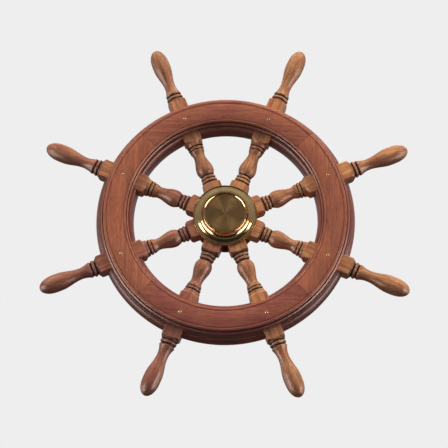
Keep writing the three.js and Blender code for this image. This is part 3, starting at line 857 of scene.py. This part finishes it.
def front_plate_points():
    """The front plate's closed outline, in millimetres: a thin raised lip, a flange that rises to
    a ridge, a valley, an ogee up to the bead round the cap, and the cavity for the nut."""
    seat, front = -HUB_SEAT / MM, -CAP_FRONT / MM
    cap, rim = CAP_RADIUS / MM, HUB_RADIUS / MM
    points = [(seat, 8.6), (seat, rim - 0.4), (seat - 0.4, rim), (-19.8, rim)]
    points += arc((-19.8, rim - 1.1), (-1.6, 1.1), 90, 270, 12)[::-1]
    points += [(-19.7, rim - 2.5), (-20.2, rim - 3.1)]
    # The flange is nearly flat past the lip, then steepens up to the ridge.
    points += [(-20.4, 57.4), (-20.6, 56.2), (-20.85, 55.0), (-21.15, 54.1), (-21.6, 53.3),
               (-22.3, 52.1), (-23.0, 50.9), (-23.6, 49.9), (-23.85, 49.3), (-23.85, 48.7),
               (-23.65, 48.2), (-23.65, 47.8), (-24.0, 47.1), (-24.6, 46.2), (-25.5, 45.2),
               (-26.7, 44.1), (-28.1, 43.1), (-29.5, 42.3), (-30.7, 41.8), (-31.3, 41.9)]
    points += arc((-32.2, 41.1), (-1.3, 1.0), 80, 0, 8)
    points += [(-33.35, 40.6), (-32.25, 38.95)]
    points += [(front + 1.3, cap + 0.35), (front + 1.9, cap + 0.3), (front + 1.9, 34.0),
               (seat - 2.5, 34.0), (seat - 2.5, 8.6)]
    return points


def cap_points():
    """The centre cap's outline: a shallow dished face inside a rolled edge, and a spigot."""
    front, back = -CAP_FRONT / MM, -CAP_REACH / MM
    cap = CAP_RADIUS / MM
    disc_back = front + 1.6
    face = [(front + 0.55, 0.0), (front + 0.5, 9.0), (front + 0.42, 18.0), (front + 0.3, 27.0),
            (front + 0.2, cap - 3.2), (front + 0.55, cap - 2.9), (front + 0.5, cap - 2.5)]
    edge = arc((front + 0.55, cap - 1.25), (-0.55, 1.25), -80, 90, 10)
    outside, inside = SPIGOT_RADIUS, SPIGOT_RADIUS - 2.2
    wall = [(disc_back, cap), (disc_back, outside), (back - 0.4, outside), (back, outside - 0.4),
            (back, inside + 0.4), (back - 0.4, inside), (disc_back, inside), (disc_back, 0.0)]
    return face + edge + wall


class SHIPWHEEL_OT_front_plate(bpy.types.Operator):
    """Builds the hub's front plate"""

    bl_idname = "shipwheel.front_plate"
    bl_label = "Front hub plate"

    def execute(self, context):
        lathe_piece("front_hub_plate", front_plate_points(), "polished_brass", "wheel", ring=True,
                    sides=HUB_SIDES)
        return {"FINISHED"}


class SHIPWHEEL_OT_centre_cap(bpy.types.Operator):
    """Builds the cap over the shaft nut"""

    bl_idname = "shipwheel.centre_cap"
    bl_label = "Centre cap"

    def execute(self, context):
        lathe_piece("centre_cap", cap_points(), "turned_brass", "cap", sides=HUB_SIDES)
        return {"FINISHED"}


def screw_profile():
    """A countersunk screw's outline in metres, from its point up to the back plate's face."""
    top = PLATE_BACK / MM
    thread = []
    height = top - SCREW_LENGTH + 3
    while height < top - 9:
        thread += [(height, SCREW_SHANK - THREAD_DEPTH), (height + THREAD_PITCH / 2, SCREW_SHANK)]
        height += THREAD_PITCH
    points = [(top - SCREW_LENGTH, 0.0), *thread, (top - 8.6, SCREW_SHANK),
              (top - 2.5, SCREW_SHANK), (top - 0.3, SCREW_HEAD), (top, SCREW_HEAD), (top, 0.0)]
    return [(h * MM, r * MM) for h, r in points]


def screw_place(i):
    """Where the back plate is screwed to a spoke's heel."""
    return round_wheel(spoke_angle(i)) @ Matrix.Translation((settings().screw_circle, 0, 0))


class SHIPWHEEL_OT_back_plate(bpy.types.Operator):
    """Builds the hub's back plate, countersunk for its screws"""

    bl_idname = "shipwheel.back_plate"
    bl_label = "Back hub plate"

    def execute(self, context):
        seat, back, rim = HUB_SEAT / MM, PLATE_BACK / MM, HUB_RADIUS / MM
        points = [(seat, PLATE_BORE), (seat, rim - 0.4), (seat + 0.4, rim)]
        points += arc((back - 1.2, rim - 1.4), (1.2, 1.4), 0, 90, 8)
        # A fine turned line rings the bearing's end of the plate.
        points += [(back, rim - 1.9), (back, 24.8), (back, 24.6), (back - 0.35, 24.3)]
        points += [(back - 0.35, 23.7), (back, 23.4), (back, PLATE_BORE)]
        plate = lathe_piece("back_hub_plate", points, "polished_brass", "wheel", ring=True,
                            sides=HUB_SIDES)
        sink = [(15 * MM, 0.0), (15 * MM, 2.7 * MM), (PLATE_BACK - 2.4 * MM, 2.7 * MM),
                (PLATE_BACK - 0.1 * MM, 5.0 * MM), (26 * MM, 5.0 * MM), (26 * MM, 0.0)]
        cut_away(plate, [drill("sink", sink, screw_place(i)) for i in range(SPOKES)])
        return {"FINISHED"}


class SHIPWHEEL_OT_hub_screws(bpy.types.Operator):
    """Builds the slotted countersunk screws that hold the back plate to the spokes"""

    bl_idname = "shipwheel.hub_screws"
    bl_label = "Hub screws"

    def execute(self, context):
        shape = turned_shape(screw_profile(), even_angles(24))
        length, width, depth = (size * MM for size in SCREW_SLOT)
        low = (-length / 2, PLATE_BACK - depth, -width / 2)
        high = (length / 2, PLATE_BACK + depth, width / 2)
        for i in range(SPOKES):
            screw = make_piece(f"hub_screw_{i + 1}", shape, screw_place(i) @ AXLE, "polished_brass",
                               "wheel")
            # Each screw stopped at its own angle.
            turned_by = Matrix.Rotation(0.9 * i + 0.3, 4, "Y")
            cut_away(screw, [block("slot", low, high, screw_place(i) @ turned_by)])
        return {"FINISHED"}


class SHIPWHEEL_OT_hub_bush(bpy.types.Operator):
    """Builds the bush that the spoke heels meet round, with its keyway"""

    bl_idname = "shipwheel.hub_bush"
    bl_label = "Hub bush"

    def execute(self, context):
        end = HALF_SQUARE / MM
        points = [(-end, BUSH_BORE), (-end, 21.1), (-end + 0.4, 21.5), (end - 0.4, 21.5),
                  (end, 21.1), (end, BUSH_BORE)]
        bush = lathe_piece("hub_bush", points, "bronze", "wheel", ring=True)
        low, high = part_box("shaft_key")
        keyway = block("keyway", (low[0] * KEYWAY_EASE, -30 * MM, 0.0),
                       (high[0] * KEYWAY_EASE, 30 * MM, high[2] + GAP))
        cut_away(bush, [keyway])
        return {"FINISHED"}


# Shaft and bearing ---------------------------------------------------------------------------

SHAFT_RADIUS = 12.5          # millimetres, as are all below
SHAFT_THREAD = 7.95
SHAFT_PITCH = 2.0
SHOULDER = -15.5             # place on the axis where the thread's end meets the journal
COLLAR_RADIUS = 18.0
COLLAR_THICKNESS = 5.7
GROOVE_RADIUS = 11.5         # bottom of the retaining ring's groove
NUT_FLATS = 24.0
HOUSING_BORE = 16.3
HOUSING_BARREL = 24.0
HOUSING_FLANGE = 8.0         # its thickness
COUNTERBORE = (20.0, 6.6)    # radius and depth of the room for the retaining ring
HOUSING_SCREWS = 4
HOUSING_SCREW_CIRCLE = 32.0
BEARING_BORE = 12.8


def shaft_points():
    """The shaft's outline: a threaded end, the journal, its collar and the retaining groove."""
    front, back = ends("steering_shaft")
    shaft, thread, collar = SHAFT_RADIUS, SHAFT_THREAD, COLLAR_RADIUS
    points = [(front, 0.0), (front, 6.6), (front + 0.8, 7.6)]
    height = front + 1.2
    while height + SHAFT_PITCH < SHOULDER - 1:
        points += [(height, thread), (height + SHAFT_PITCH * 0.25, thread),
                   (height + SHAFT_PITCH * 0.62, 7.0)]
        height += SHAFT_PITCH
    points += [(SHOULDER - 0.8, 7.2), (SHOULDER, 7.2), (SHOULDER, shaft - 0.5),
               (SHOULDER + 0.5, shaft)]
    collar_front = PLATE_BACK / MM + 0.3
    collar_back = collar_front + COLLAR_THICKNESS
    points += [(collar_front, shaft), (collar_front, collar - 0.4), (collar_front + 0.4, collar),
               (collar_back - 0.6, collar), (collar_back, collar - 0.6), (collar_back, shaft)]
    groove = ends("retaining_ring")[0] - 0.15
    points += [(groove, shaft), (groove, GROOVE_RADIUS), (groove + 2.0, GROOVE_RADIUS),
               (groove + 2.0, shaft), (back - 0.8, shaft), (back, shaft - 0.8), (back, 1.6),
               (back - 1.6, 0.0)]
    return points


class SHIPWHEEL_OT_shaft(bpy.types.Operator):
    """Builds the shaft, with its keyway, and the key in it"""

    bl_idname = "shipwheel.shaft"
    bl_label = "Shaft and key"

    def execute(self, context):
        shaft = lathe_piece("steering_shaft", shaft_points(), "bright_steel", "wheel", sides=96)
        low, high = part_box("shaft_key")
        bed = [low[i] - GAP for i in range(3)]
        cut_away(shaft, [block("keyway", bed, (-bed[0], -bed[1], 20 * MM))])
        # The key is the hull of its six flats, each drawn in by the bevel at its edges.
        bevel = 0.35 * MM
        verts = [Vector([(low, high)[side[k]][k] - (2 * side[k] - 1) * bevel * (k != flat)
                         for k in range(3)])
                 for flat in range(3) for side in product((0, 1), repeat=3)]
        hull = bmesh.new()
        for vert in verts:
            hull.verts.new(vert)
        bmesh.ops.convex_hull(hull, input=hull.verts)
        mesh = bpy.data.meshes.new("shaft_key")
        hull.to_mesh(mesh)
        hull.free()
        finish_piece("shaft_key", mesh, "bright_steel", "wheel")
        return {"FINISHED"}


def flat_ring(node, bore, rim):
    """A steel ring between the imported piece's faces, its outer edges bevelled."""
    low, high = ends(node)
    bevel = 0.3
    points = [(low, bore), (low, rim - bevel), (low + bevel, rim), (high - bevel, rim),
              (high, rim - bevel), (high, bore)]
    return lathe_piece(node, points, "bright_steel", "wheel", ring=True, sides=96)


def hexagon(flats):
    """How far a hexagonal bar reaches at an angle."""
    def reach(height, angle):
        off = (angle + math.pi / 6) % (math.pi / 3) - math.pi / 6
        return flats / 2 / math.cos(off)
    return reach


class SHIPWHEEL_OT_shaft_fastenings(bpy.types.Operator):
    """Builds the washer, the nut and the split retaining ring"""

    bl_idname = "shipwheel.shaft_fastenings"
    bl_label = "Washer, nut and retaining ring"

    def execute(self, context):
        flat_ring("shaft_washer", 8.3, 15)
        low, high = ends("shaft_nut")
        corner = NUT_FLATS / math.sqrt(3)
        profile = [(low, 8.8), (low, 11.6), (low + 1.3, corner), (high - 1.3, corner), (high, 11.6),
                   (high, 8.8), (high - 0.6, 8.2), (low + 0.6, 8.2)]
        shape = turned_shape([(h * MM, r * MM) for h, r in profile], even_angles(144),
                             stock=hexagon(NUT_FLATS * MM), ring=True)
        make_piece("shaft_nut", shape, AXLE, "bright_steel", "wheel")
        ring = flat_ring("retaining_ring", 11.8, 17)
        low, high = ends("retaining_ring")
        gap = block("split", (-4.1 * MM, (low - 1) * MM, 0.0), (4.1 * MM, (high + 1) * MM, 25 * MM))
        cut_away(ring, [gap])
        return {"FINISHED"}


class SHIPWHEEL_OT_bearing(bpy.types.Operator):
    """Builds the flanged bearing housing, bored for its screws, and its bush"""

    bl_idname = "shipwheel.bearing"
    bl_label = "Bearing"

    def execute(self, context):
        front, back = ends("bearing_housing")
        rim, flange = HOUSING_RADIUS / MM, back - HOUSING_FLANGE
        barrel, round_over, fillet, lip = HOUSING_BARREL, 1.2, 4, 1.6
        room, depth = COUNTERBORE
        points = [(front, HOUSING_BORE), (front, barrel - round_over)]
        points += arc((front + round_over, barrel - round_over), (-round_over, round_over), 90, 0, 6)
        points += [(flange - fillet, barrel)]
        points += arc((flange - fillet, barrel + fillet), (fillet, -fillet), 15, 90, 5)
        points += [(flange, rim - lip)]
        points += arc((flange + lip, rim - lip), (-lip, lip), 90, 0, 6)
        points += [(back - 0.5, rim), (back, rim - 0.5), (back, room + 0.4), (back - 0.4, room),
                   (back - depth, room), (back - depth, HOUSING_BORE)]
        housing = lathe_piece("bearing_housing", points, "bronze", "helm_bearing", ring=True)
        sink = [(60 * MM, 0.0), (60 * MM, 5.2 * MM), (flange * MM, 5.2 * MM),
                ((flange + 2.4) * MM, 2.8 * MM), (80 * MM, 2.8 * MM), (80 * MM, 0.0)]
        holes = []
        for i in range(HOUSING_SCREWS):
            turn_to = round_wheel(math.pi / HOUSING_SCREWS + i * 2 * math.pi / HOUSING_SCREWS)
            place = turn_to @ Matrix.Translation((HOUSING_SCREW_CIRCLE * MM, 0, 0))
            holes.append(drill("hole", sink, place))
        cut_away(housing, holes)
        low, high = ends("bearing_bush")
        bore = BEARING_BORE
        bush = [(low, bore + 0.4), (low, 20.6), (low + 0.4, 21), (low + 2.6, 21), (low + 3, 20.6),
                (low + 3, 16), (high - 0.4, 16), (high, 15.6), (high, bore + 0.4),
                (high - 0.4, bore), (low + 0.4, bore)]
        lathe_piece("bearing_bush", bush, "bronze", "helm_bearing", ring=True)
        return {"FINISHED"}


# Stage ---------------------------------------------------------------------------------------

FLOOR_HEIGHT = -2.8
BACKGROUND = "#EEEEEE"


def add_softbox(name, place, size, power, colour=(1.0, 1.0, 1.0)):
    """A soft rectangular light at a place, facing the wheel."""
    light = bpy.data.lights.new(name, "AREA")
    light.shape = "RECTANGLE"
    light.size, light.size_y = size
    light.energy = power
    light.color = colour
    obj = bpy.data.objects.new(name, light)
    obj.location = place
    obj.rotation_euler = Vector(place).to_track_quat("Z", "Y").to_euler()
    bpy.context.scene.collection.objects.link(obj)
    return obj


class SHIPWHEEL_OT_stage(bpy.types.Operator):
    """Sets up the pale floor, the soft lights and the camera"""

    bl_idname = "shipwheel.stage"
    bl_label = "Stage"

    def execute(self, context):
        scene = context.scene
        scene.view_settings.view_transform = "Standard"
        self.add_floor(scene)
        self.add_sky(scene)
        # High diffusers and a warm bounce off the floor light the wheel and leave no glare on the
        # varnish. The glints come from two tall warm reflectors, low on each side, and from two
        # dimmer screens behind them, which draw a line of light along the felloes.
        for name, place, power in (("left", (-2.2, -1.6, 3.0), 122), ("right", (2.2, -1.6, 3.0), 178),
                                   ("back", (0.5, 2.6, 2.6), 90)):
            add_softbox(f"diffuser_{name}", place, (2.2, 2.4), power).visible_glossy = False
        for name, sign in (("left", -1), ("right", 1)):
            for kind, place, size, power, colour in (
                    ("reflector", (sign * 2.9, -1.35, -1.16), (1.8, 2.8), 102, (1.0, 0.9, 0.84)),
                    ("screen", (sign * 3.0, 0.5, -0.9), (2.0, 2.4), 36, (1.0, 0.86, 0.84))):
                add_softbox(f"{kind}_{name}", place, size, power, colour).visible_diffuse = False
        bounce = add_softbox("floor_bounce", (0, -1.2, -2.2), (2.4, 1.6), 9, (1.0, 0.72, 0.68))
        bounce.visible_glossy = False
        self.add_camera(scene)
        return {"FINISHED"}

    def add_floor(self, scene):
        """A wide round light table, under the lowest handle and the camera."""
        shape = turned_shape([(0, 0.0), (0, 3.0), (0, 14.0)], even_angles(96))
        mesh = bpy.data.meshes.new("floor")
        mesh.from_pydata([(x, y, FLOOR_HEIGHT) for x, y, z in shape[0]], [], shape[1])
        material, tree = new_material("lit_white_board")
        surface = add_node(tree, "ShaderNodeBsdfPrincipled",
                           inputs={"Base Color": linear("#585858"), "Roughness": 0.8,
                                   "Emission Color": linear(BACKGROUND), "Emission Strength": 0.9})
        add_node(tree, "ShaderNodeOutputMaterial", inputs={"Surface": surface.outputs["BSDF"]})
        mesh.materials.append(material)
        floor = bpy.data.objects.new("floor", mesh)
        scene.collection.objects.link(floor)
        # The board isn't to light the wheel from below.
        floor.visible_diffuse = False
        floor.visible_glossy = False

    def add_sky(self, scene):
        """A pale backdrop, and a dimmer room that lights the wheel from above."""
        world = bpy.data.worlds.new("studio")
        scene.world = world
        world.use_nodes = True
        tree = world.node_tree
        tree.nodes.clear()
        up = add_node(tree, "ShaderNodeSeparateXYZ",
                      inputs={0: add_node(tree, "ShaderNodeTexCoord").outputs["Generated"]})
        height = add_node(tree, "ShaderNodeMapRange",
                          inputs={"Value": up.outputs["Z"], "From Min": -1.0, "From Max": 1.0})
        room = add_node(tree, "ShaderNodeValToRGB", inputs={"Fac": height.outputs["Result"]})
        grey = {0.0: 0.02, 0.35: 0.03, 0.46: 0.05, 0.53: 0.24, 0.68: 0.26, 0.85: 0.42, 1.0: 0.5}
        set_stops(room, {place: (value, value, value, 1) for place, value in grey.items()})
        path = add_node(tree, "ShaderNodeLightPath")
        # The room shows in the polish, but lights the wheel less than the diffusers do.
        strength = add_node(
            tree, "ShaderNodeMapRange",
            inputs={"Value": path.outputs["Is Diffuse Ray"], "To Min": 1.0, "To Max": 0.45})
        glow = add_node(tree, "ShaderNodeBackground",
                        inputs={"Color": room.outputs["Color"], "Strength": strength.outputs["Result"]})
        backdrop = add_node(tree, "ShaderNodeBackground", inputs={"Color": linear(BACKGROUND)})
        mixed = add_node(tree, "ShaderNodeMixShader",
                         inputs={0: path.outputs["Is Camera Ray"], 1: glow.outputs[0],
                                 2: backdrop.outputs[0]})
        add_node(tree, "ShaderNodeOutputWorld", inputs={"Surface": mixed.outputs[0]})

    def add_camera(self, scene):
        """A long lens a little below the hub, looking up at the wheel's face."""
        azimuth, elevation, roll = (math.radians(a) for a in (1.77, -19.6, 1.0))
        distance = 3.779
        back = Vector((math.sin(azimuth) * math.cos(elevation),
                       -math.cos(azimuth) * math.cos(elevation), math.sin(elevation)))
        camera = bpy.data.cameras.new("camera")
        camera.lens = 157.4
        camera.shift_x, camera.shift_y = -0.003, -0.0116
        obj = bpy.data.objects.new("camera", camera)
        obj.location = back * distance
        aim = back.to_track_quat("Z", "Y").to_matrix().to_4x4() @ Matrix.Rotation(roll, 4, "Z")
        obj.rotation_euler = aim.to_euler()
        scene.collection.objects.link(obj)
        scene.camera = obj


# Add-on --------------------------------------------------------------------------------------

OPERATORS = (
    SHIPWHEEL_OT_rings, SHIPWHEEL_OT_felloes, SHIPWHEEL_OT_rim_pins, SHIPWHEEL_OT_spokes,
    SHIPWHEEL_OT_front_plate, SHIPWHEEL_OT_centre_cap, SHIPWHEEL_OT_back_plate,
    SHIPWHEEL_OT_hub_screws, SHIPWHEEL_OT_hub_bush, SHIPWHEEL_OT_shaft,
    SHIPWHEEL_OT_shaft_fastenings, SHIPWHEEL_OT_bearing, SHIPWHEEL_OT_stage,
)


class SHIPWHEEL_PT_panel(bpy.types.Panel):
    """Lists the pieces of the wheel and the sizes and colours they use"""

    bl_idname = "SHIPWHEEL_PT_panel"
    bl_label = "Ship Wheel"
    bl_space_type = "VIEW_3D"
    bl_region_type = "UI"
    bl_category = "Ship Wheel"

    def draw(self, context):
        for name in WheelSettings.__annotations__:
            self.layout.prop(context.scene.ship_wheel, name)
        for operator in OPERATORS:
            self.layout.operator(operator.bl_idname)


CLASSES = (WheelSettings, *OPERATORS, SHIPWHEEL_PT_panel)


def register():
    for each in CLASSES:
        bpy.utils.register_class(each)
    bpy.types.Scene.ship_wheel = bpy.props.PointerProperty(type=WheelSettings)


def unregister():
    del bpy.types.Scene.ship_wheel
    for each in reversed(CLASSES):
        bpy.utils.unregister_class(each)


def main():
    """Builds every piece and the stage."""
    register()
    for operator in OPERATORS:
        area, name = operator.bl_idname.split(".")
        getattr(getattr(bpy.ops, area), name)()


if __name__ == "__main__":
    main()
